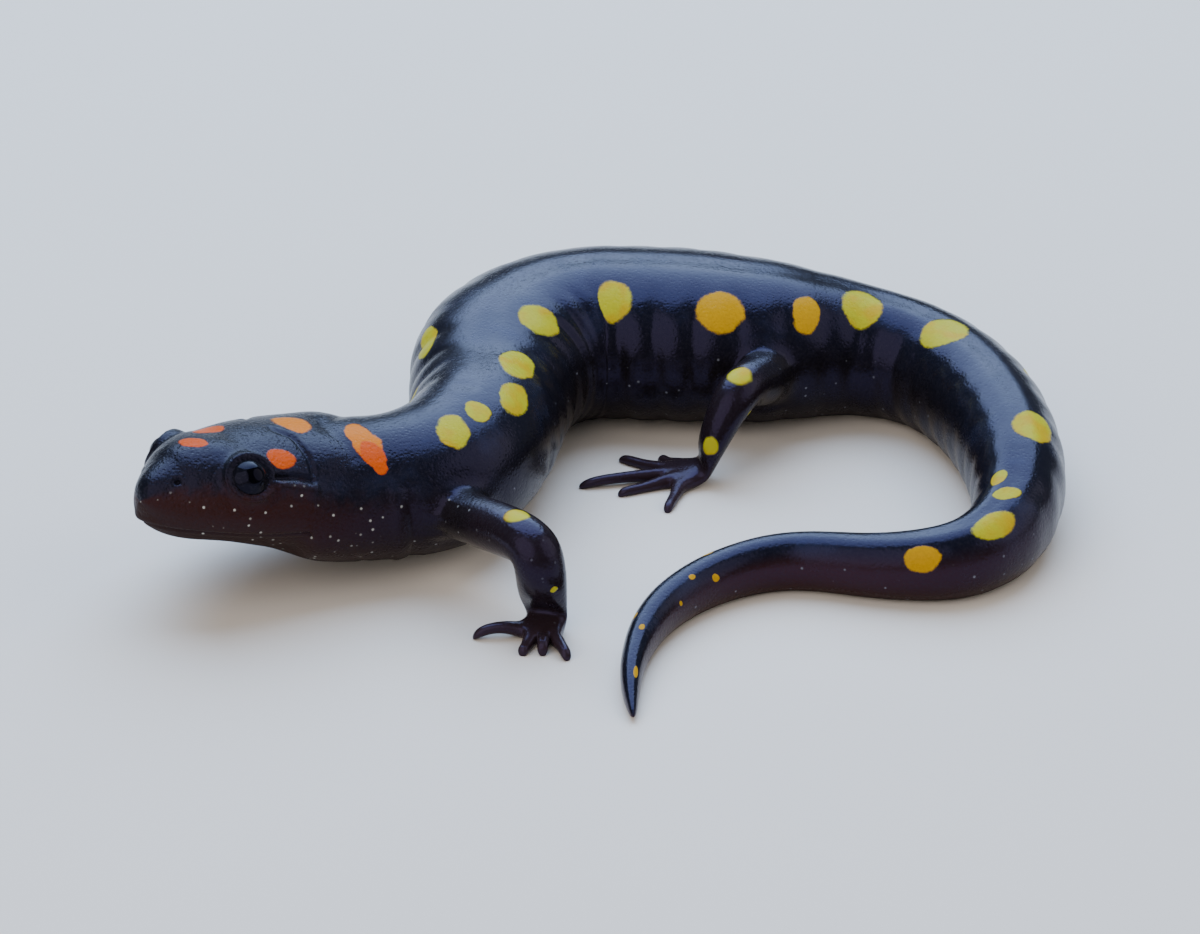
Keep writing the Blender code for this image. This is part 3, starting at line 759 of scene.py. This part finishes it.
class Value:
    """A shader socket that takes part in sums."""

    def __init__(self, wiring, socket):
        self.wiring, self.socket = wiring, socket

    def maths(self, operation, *others):
        return self.wiring.add("ShaderNodeMath", {"operation": operation}, [self, *others])

    def __add__(self, other):
        return self.maths("ADD", other)

    __radd__ = __add__

    def __mul__(self, other):
        return self.maths("MULTIPLY", other)

    __rmul__ = __mul__

    def __sub__(self, other):
        return self.maths("SUBTRACT", other)

    def __rsub__(self, other):
        return self.wiring.add("ShaderNodeMath", {"operation": "SUBTRACT"}, [other, self])

    def __truediv__(self, other):
        return self.maths("DIVIDE", other)

    def least(self, other):
        return self.maths("MINIMUM", other)

    def greatest(self, other):
        return self.maths("MAXIMUM", other)

    def vector_maths(self, operation, *others, output=0):
        return self.wiring.add("ShaderNodeVectorMath", {"operation": operation}, [self, *others], output)

    def dot(self, vector):
        return self.vector_maths("DOT_PRODUCT", vector, output="Value")

    def length(self):
        return self.vector_maths("LENGTH", output="Value")

    def moved(self, vector):
        return self.vector_maths("ADD", vector)

    def scaled(self, vector):
        return self.vector_maths("MULTIPLY", vector)

    def between(self, low, high):
        """Zero below low, one above high, and eased in between."""
        settings = {"interpolation_type": "SMOOTHSTEP"}
        sockets = {"Value": self, "From Min": low, "From Max": high}
        return self.wiring.add("ShaderNodeMapRange", settings, sockets, "Result")


class Wiring:
    """The node tree of one new material."""

    def __init__(self, name):
        self.material = bpy.data.materials.new(name)
        self.material.use_nodes = True
        self.tree = self.material.node_tree
        self.shader = self.tree.nodes["Principled BSDF"]

    def add(self, kind, settings=None, sockets=None, output=0):
        node = self.tree.nodes.new(kind)
        for name, value in (settings or {}).items():
            setattr(node, name, value)
        pairs = sockets.items() if isinstance(sockets, dict) else enumerate(sockets or ())
        for key, value in pairs:
            self.join(node.inputs[key], value)
        return Value(self, node.outputs[output])

    def join(self, socket, value):
        if isinstance(value, Value):
            self.tree.links.new(value.socket, socket)
        else:
            socket.default_value = value

    def finish(self, **sockets):
        for name, value in sockets.items():
            self.join(self.shader.inputs[name.replace("_", " ")], value)
        return self.material

    def noise(self, place, scale, detail=2.0, rough=0.5, output="Fac"):
        sockets = {"Vector": place, "Scale": scale, "Detail": detail, "Roughness": rough}
        return self.add("ShaderNodeTexNoise", {}, sockets, output)

    def cells(self, place, scale):
        """Distance from the nearest of many scattered points."""
        sockets = {"Vector": place, "Scale": scale, "Randomness": 1.0}
        return self.add("ShaderNodeTexVoronoi", {}, sockets, "Distance")

    def mixed(self, share, low, high):
        """A colour between two colours."""
        node = self.tree.nodes.new("ShaderNodeMix")
        node.data_type = "RGBA"
        for index, value in ((0, share), (6, low), (7, high)):
            self.join(node.inputs[index], (*value, 1) if isinstance(value, tuple) else value)
        return Value(self, node.outputs[2])

    def bumped(self, height, strength, distance, normal=None):
        sockets = {"Height": height, "Strength": strength, "Distance": distance}
        if normal:
            sockets["Normal"] = normal
        return self.add("ShaderNodeBump", {}, sockets)


# ---- the skin's finish ----

# The back's tone is the skin's own near black with a painted blue sheen in it; the flank's and the belly's
# tones are the skin's own.
BACK_WITH_PAINTED_SHEEN, FLANK, BELLY = (0.0040, 0.0045, 0.0080), (0.0065, 0.0048, 0.0055), (0.019, 0.015, 0.016)
SNOUT_TONE, THROAT = (0.027, 0.0080, 0.0050), (0.024, 0.014, 0.012)
# The first tone is a painted blue sheen, laid in blotches over the back; the grain's tone is the skin's own.
PAINTED_BLUE_SHEEN, GRAIN_TONE = (0.010, 0.013, 0.028), (0.020, 0.018, 0.022)
TAIL_TONE = (0.030, 0.010, 0.008)
LEG_TONE, TOE_TONE = (0.010, 0.006, 0.008), (0.028, 0.016, 0.020)
HEAD_SPECK, BODY_SPECK = (0.55, 0.55, 0.50), (0.16, 0.17, 0.20)
ORANGE, AMBER = (0.50, 0.066, 0.0008), (0.56, 0.155, 0.0008)
PALE, GOLD = (0.38, 0.35, 0.010), (0.45, 0.235, 0.0015)
SPOT_DARK = 0.6  # of a spot's tone is left in its darker grains

# Where each feature of the head fades out, measured from a point inside the snout.
SNOUT_INSIDE = 3
SNOUT_FADE, THROAT_FADE = (8.0, 30.0), (14.0, 38.0)
SPECKS_FADE, PIMPLES_FADE = (14.0, 36.0), (12.0, 34.0)
TAIL_FADE = (125.0, 165.0)  # where the tail's tone sets in
TOE_FADE = (0.4, 3.4)  # heights off the floor over which the toes' tone ends
RAGGED_SHARE = (0.8, 0.065, 0.065)  # how far the spots' outlines stray along the body, and round it
SPECK_CELLS, PIT_CELLS = 0.95, 2.4  # in a millimetre

# The wet film shines strongly and blue, and the dull skin weakly and warm.
WET_IOR, WET_SHINE = 1.305, (0.46, 0.41, 0.97, 1)
DULL_IOR, DULL_SHINE = 1.15, (1.0, 0.8, 0.6, 1)

# Spots of each tone: distance from the snout, angle from the middle of the back toward the left,
# half length along the body, half width round it, and how far it is turned.
AMBER_SPOTS = (
    (16.8, 6, 2.3, 1.8, 0), (24.8, 9, 1.3, 1.7, -15), (25.3, 20, 1.35, 1.9, -15), (25.0, -42, 1.2, 1.6, 15),
)
ORANGE_SPOTS = (
    (11.5, 46, 1.6, 1.25, 0), (8.4, -11, 1.7, 1.25, 0), (25.7, 31, 0.95, 1.9, -14), (26.0, 41, 0.6, 1.2, -14),
    (4.9, 6, 0.75, 1.4, -20), (19.0, -50, 0.9, 0.8, 0),
)
PALE_SPOTS = (
    (32.4, 25, 1.25, 2.25, 15), (35.5, 20, 1.0, 1.5, 15), (39.5, 34.5, 2.05, 1.8, -15),
    (44.8, 25, 2.7, 2.05, 0), (56.0, 29.0, 2.75, 2.4, 0), (73.5, 38, 2.8, 2.7, -20),
    (100.2, 23, 2.9, 2.8, 0), (112.0, 12, 2.6, 2.8, 0), (53.0, -50, 2.5, 1.6, 0),
    (44.0, -64, 1.9, 1.3, 0), (34.5, -48, 1.6, 1.4, 0), (62.5, -58, 2.0, 1.9, 0),
    (71.5, -50, 1.8, 2.2, 0), (80.0, -54, 2.1, 1.9, 0), (107.5, -52, 1.7, 1.6, 0),
    (120.5, -56, 1.5, 1.4, 0), (132.6, -17, 2.5, 2.3, 0), (141.1, 20, 1.3, 0.9, 10),
    (143.4, -2, 0.9, 1.5, -35), (147.4, -28, 2.1, 1.6, 10),
)
GOLD_SPOTS = (
    (85.5, 42, 2.35, 2.6, 0), (93.2, 40, 1.35, 2.35, 0), (154.1, -54, 1.6, 1.35, 0),
    (89.5, -56, 2.3, 2.0, 0), (98.5, -54, 1.6, 1.8, 0), (160.0, 56, 1.2, 1.0, 0),
    (175.5, 27, 0.6, 0.5, 0), (179.4, -25, 0.42, 0.35, 0), (176.8, -56, 0.42, 0.4, 0),
    (182.6, -63, 0.25, 0.25, 0), (189.1, -7, 0.5, 0.3, 0), (195.6, -25, 0.8, 0.3, 0),
    (187.0, 44, 0.5, 0.4, 0),
)
# Spots of the legs: the middle of each, and its radius.
LEG_SPOTS = (
    ((-8.0, -21.0, 12.2), 1.3), ((14.5, 10.6, 11.4), 1.35), ((11.3, 6.4, 5.0), 0.95),
    ((-4.3, -25.3, 6.1), 0.36), ((-24.5, 3.0, 10.2), 1.0), ((11.0, 39.5, 10.2), 1.1),
    ((15.2, 9.4, 7.5), 0.6),
)


def spot_distance(where, spots):
    """One at the outline of the nearest spot, less inside it."""
    distances = []
    for s, angle, half_long, half_wide, turn in spots:
        radius = (smooth(BODY, s, 1) + smooth(BODY, s, 2)) / 2
        a, t = math.radians(angle), math.radians(turn)
        round_body = Vector((0, math.cos(a) * radius, -math.sin(a) * radius))
        outward = Vector((0, math.sin(a) * radius, math.cos(a) * radius))
        lengthways = Vector((1, 0, 0))
        offset = where.moved(Vector((-s, -math.sin(a), -math.cos(a))))
        x = offset.dot((lengthways * math.cos(t) + round_body * math.sin(t)) / half_long)
        y = offset.dot((round_body * math.cos(t) - lengthways * math.sin(t)) / half_wide)
        z = offset.dot(outward / half_wide)
        distances.append(x * x + y * y + z * z)
    return reduce(Value.least, distances).maths("SQRT")


def darker(tone):
    return tone.scaled((SPOT_DARK,) * 3) if isinstance(tone, Value) else tuple(c * SPOT_DARK for c in tone)


class Ground:
    """Where each point of the skin lies, and the noises that several of its features share."""

    def __init__(self, w):
        self.place = w.add("ShaderNodeTexCoord", output="Object").scaled(IN_MILLIMETRES)
        self.where = w.add("ShaderNodeAttribute", {"attribute_name": "where"}, output="Vector")
        self.limb = w.add("ShaderNodeAttribute", {"attribute_name": "limb"}, output="Fac")
        self.along = w.add("ShaderNodeSeparateXYZ", {}, [self.where], "X")
        self.cosine = Value(w, self.along.socket.node.outputs["Z"])  # one on the back, minus one on the belly
        self.from_snout = self.place.moved(MIDDLE - spine(SNOUT_INSIDE)).length()
        stray = w.noise(self.place, 0.5, 2.0, 0.5, "Color").moved((-0.5, -0.5, -0.5))
        self.ragged = stray.scaled(RAGGED_SHARE)
        self.blotches = w.noise(self.place, 0.22, 3.0)
        self.grain = w.noise(self.place, 3.2, 3.0, 0.6)
        self.fine = w.noise(self.place, 9.0, 2.0, 0.5)
        self.under = (0 - self.cosine).between(0.35, 0.85)
        uneven = self.cosine + w.noise(self.place, 0.9, 3.0, 0.6) * 0.5 - 0.25
        self.brown = (1 - self.from_snout.between(*SNOUT_FADE)) * (1 - uneven.between(0.14, 0.52))


def plain_colour(w, g):
    """The skin's dark tones: back, flank and belly, the brown snout, the throat, the tail and the legs, with
    a painted blue sheen over the back.
    """
    back = g.cosine.between(-0.1, 0.75)
    # The upper side takes the back's tone, whose blue is in part a painted sheen.
    colour = w.mixed(back, FLANK, BACK_WITH_PAINTED_SHEEN)
    # Painted sheen: blue blotches laid into the colour over the upper side.
    colour = w.mixed(g.blotches.between(0.5, 0.75) * back * 0.8, colour, PAINTED_BLUE_SHEEN)
    colour = w.mixed(g.under * 0.85, colour, BELLY)
    colour = w.mixed(g.brown * 0.92, colour, SNOUT_TONE)
    throat = (1 - g.from_snout.between(*THROAT_FADE)) * (0 - g.cosine).between(-0.1, 0.6)
    colour = w.mixed(throat * 0.7, colour, THROAT)
    tail = g.along.between(*TAIL_FADE) * (1 - g.cosine.between(0.2, 0.8))
    colour = w.mixed(tail * 0.85, colour, TAIL_TONE)
    toes = 1 - g.place.dot(UP).between(*TOE_FADE)
    colour = w.mixed(g.limb, colour, w.mixed(toes * 0.85, LEG_TONE, TOE_TONE))
    return w.mixed(g.grain.between(0.35, 0.8) * 0.30, colour, GRAIN_TONE)


def with_specks(w, g, colour):
    """Pale specks: many on the cheeks and the throat, fewer and fainter on the flanks and the tail."""
    cells = w.cells(g.place, SPECK_CELLS)
    lot = Value(w, cells.socket.node.outputs["Color"])
    farther = g.from_snout.between(*SPECKS_FADE)
    chosen = (lot.dot((1, 0, 0)) - farther * 0.45 - 0.2).between(0, 0.01)
    ragged_cells = cells + (g.fine - 0.5) * 0.08
    specks = (1 - ragged_cells.between(0.06, 0.18)) * chosen
    low_side = (1 - g.cosine.between(0.25, 0.40)) * (1 - (0 - g.cosine).between(0.80, 0.92))
    specks = specks * low_side * (1 - g.limb * 0.7) * (0.45 + lot.dot((0, 0.55, 0)))
    return w.mixed(specks * 0.9, colour, w.mixed(farther, HEAD_SPECK, BODY_SPECK))


def with_spots(w, g, colour):
    """The colour with the large spots on it, and where they are."""
    yellow = w.mixed(w.noise(g.place, 0.45, 1.0).between(0.4, 0.7) * 0.6, PALE, GOLD)
    ember = w.mixed(g.cosine.between(0.80, 0.96), ORANGE, AMBER)
    tones = (yellow, PALE_SPOTS), (GOLD, GOLD_SPOTS), (ember, AMBER_SPOTS), (ORANGE, ORANGE_SPOTS)
    stirred, spotted = g.where.moved(g.ragged), None
    for tone, spots in tones:
        edge = spot_distance(stirred, spots) + (g.grain - 0.5) * 0.18
        mask = (1 - edge.between(0.90, 1.06)) * (1 - g.limb)
        colour = w.mixed(mask, colour, w.mixed(g.grain.between(0.3, 0.8) * 0.35, tone, darker(tone)))
        spotted = spotted.greatest(mask) if spotted else mask
    wobbled = g.place.moved(g.ragged.scaled((1.0, 12.0, 12.0)))
    edges = [wobbled.moved(MIDDLE - Vector(middle)).length() / radius for middle, radius in LEG_SPOTS]
    on_legs = (1 - reduce(Value.least, edges).between(0.85, 1.15)) * g.limb.between(0.02, 0.1)
    return w.mixed(on_legs, colour, yellow), spotted.greatest(on_legs)


def skin_normal(w, g, granular, spotted):
    """Grain and pits all over, pimples on the head, and low swellings at the blotches and the spots."""
    pits = w.cells(g.place, PIT_CELLS).between(0.0, 0.55)
    pimples = w.noise(g.place, 1.5, 2.0, 0.5) * granular
    texture = pits * 0.5 + g.grain * 0.6 + g.fine * 0.18
    normal = w.bumped(texture * (0.55 + granular * 0.8) + pimples * 1.1, 0.42, 0.00012)
    return w.bumped(g.blotches + spotted * 0.35, 0.35, 0.00025, normal)


def skin_finish():
    """Wet skin, mixed with a duller one on the spots, the brown snout, the belly and the granular head."""
    w = Wiring("wet_spotted_skin")
    g = Ground(w)
    colour, spotted = with_spots(w, g, with_specks(w, g, plain_colour(w, g)))
    granular = (1 - g.from_snout.between(*PIMPLES_FADE)) * (1 - g.limb)
    normal = skin_normal(w, g, granular, spotted)
    rough = 0.13 + g.grain * 0.12 + g.blotches.between(0.35, 0.7) * 0.09
    rough = rough + g.brown * 0.12 + g.under * 0.15
    marks = {"Base Color": colour, "Roughness": rough + 0.18 + g.under * 0.2, "Normal": normal}
    dull = w.add("ShaderNodeBsdfPrincipled", {}, {**marks, "IOR": DULL_IOR, "Specular Tint": DULL_SHINE})
    wet = {"Roughness": rough, "IOR": WET_IOR, "Specular_Tint": WET_SHINE}
    finish = w.finish(Base_Color=colour, Normal=normal, **wet)
    dry = spotted.greatest(g.brown * 0.7).greatest(g.under * 0.9).greatest(granular * 0.45) * 0.9
    both = w.add("ShaderNodeMixShader", {}, [dry, Value(w, w.shader.outputs["BSDF"]), dull])
    w.join(w.tree.nodes["Material Output"].inputs["Surface"], both)
    return finish


IRIS_TONES, PUPIL_TONE = ((0.004, 0.004, 0.006), (0.013, 0.012, 0.016)), (0.0008, 0.0008, 0.001)
PUPIL_EDGE = (0.905, 0.93)  # cosines of the angle from the eye's axis
EYE_IOR, EYE_SHINE = 1.21, (0.5, 0.5, 1.0, 1)


def eye_finish(side):
    w = Wiring("wet_eye_left" if side > 0 else "wet_eye_right")
    place = w.add("ShaderNodeTexCoord", output="Object").scaled(IN_MILLIMETRES)
    offset = place.moved(-(EYES[side] - MIDDLE))
    facing = offset.dot(eye_axis(side)) / offset.length()
    flecks = w.noise(place, 2.6, 4.0, 0.7)
    iris = w.mixed(flecks.between(0.50, 0.72), *IRIS_TONES)
    colour = w.mixed(facing.between(*PUPIL_EDGE), iris, PUPIL_TONE)
    rough = 0.07 + flecks * 0.07
    return w.finish(Base_Color=colour, Roughness=rough, IOR=EYE_IOR, Specular_Tint=EYE_SHINE)


# ---- the studio ----

LOOK = Vector((0, 0, 6)) - MIDDLE
CAMERA_HEIGHT, CAMERA_AWAY = 28, 400  # degrees above the level, and how far from what it looks at
CAMERA_LENS, CAMERA_SENSOR, CAMERA_CLIP = 117.6, 36, 0.01
FLOOR_HALF = 4  # metres
FLOOR_TONES = (0.655, 0.60, 0.54), (0.705, 0.65, 0.59)
WORLD_TONE, WORLD_STRENGTH = (0.72, 0.82, 1.0, 1), 0.19
LIGHTS_AIM = Vector((0, 0, 5))
# Each light's place, width, power in watts and tone.
LIGHTS = {
    "sky_panel": ((-30, 300, 470), 780, 10.5, (0.50, 0.69, 1.0)),
    "front_panel": ((-240, -360, 320), 700, 2.6, (1.0, 0.91, 0.82)),
    "side_panel": ((400, -60, 260), 500, 1.0, (1.0, 0.93, 0.85)),
}


def aimed(obj, place, target):
    obj.location = place * MM
    obj.rotation_euler = ((target - place) * MM).to_track_quat("-Z", "Y").to_euler()
    bpy.context.scene.collection.objects.link(obj)
    return obj


def make_studio():
    """A pale floor under soft light, and the camera."""
    bm = bmesh.new()
    bmesh.ops.create_grid(bm, x_segments=2, y_segments=2, size=FLOOR_HALF)
    floor = new_object("floor", bm)
    w = Wiring("pale_floor")
    place = w.add("ShaderNodeTexCoord", output="Object")
    tone = w.mixed(w.noise(place, 9.0, 3.0), *FLOOR_TONES)
    floor.data.materials.append(w.finish(Base_Color=tone, Roughness=0.85))
    world = bpy.data.worlds.new("studio")
    world.use_nodes = True
    background = world.node_tree.nodes["Background"].inputs
    background["Color"].default_value, background["Strength"].default_value = WORLD_TONE, WORLD_STRENGTH
    bpy.context.scene.world = world
    for name, (place, width, power_watts, tone) in LIGHTS.items():
        light = bpy.data.lights.new(name, "AREA")
        light.shape, light.size, light.energy, light.color = "DISK", width * MM, power_watts, tone
        aimed(bpy.data.objects.new(name, light), Vector(place), LIGHTS_AIM)
    camera = bpy.data.cameras.new("camera")
    camera.lens, camera.sensor_width, camera.clip_start = CAMERA_LENS, CAMERA_SENSOR, CAMERA_CLIP
    rise = math.radians(CAMERA_HEIGHT)
    away = Vector((0, -math.cos(rise), math.sin(rise))) * CAMERA_AWAY
    bpy.context.scene.camera = aimed(bpy.data.objects.new("camera", camera), LOOK + away, LOOK)


# ---- putting it together ----

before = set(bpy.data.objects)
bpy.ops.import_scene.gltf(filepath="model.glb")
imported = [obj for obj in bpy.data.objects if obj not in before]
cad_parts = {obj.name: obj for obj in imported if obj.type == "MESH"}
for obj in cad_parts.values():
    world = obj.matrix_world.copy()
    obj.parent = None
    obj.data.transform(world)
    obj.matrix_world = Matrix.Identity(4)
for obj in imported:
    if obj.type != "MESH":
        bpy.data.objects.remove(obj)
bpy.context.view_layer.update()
skin = make_skin()
skin.data.materials.append(skin_finish())
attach(skin, "root")
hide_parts(*(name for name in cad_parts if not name.startswith("eye")))
for side, word in ((1, "left"), (-1, "right")):
    eye = make_eye(side, "eyeball_" + word)
    eye.data.materials.append(eye_finish(side))
    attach(eye, "root")
    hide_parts("eye_" + word)
make_studio()
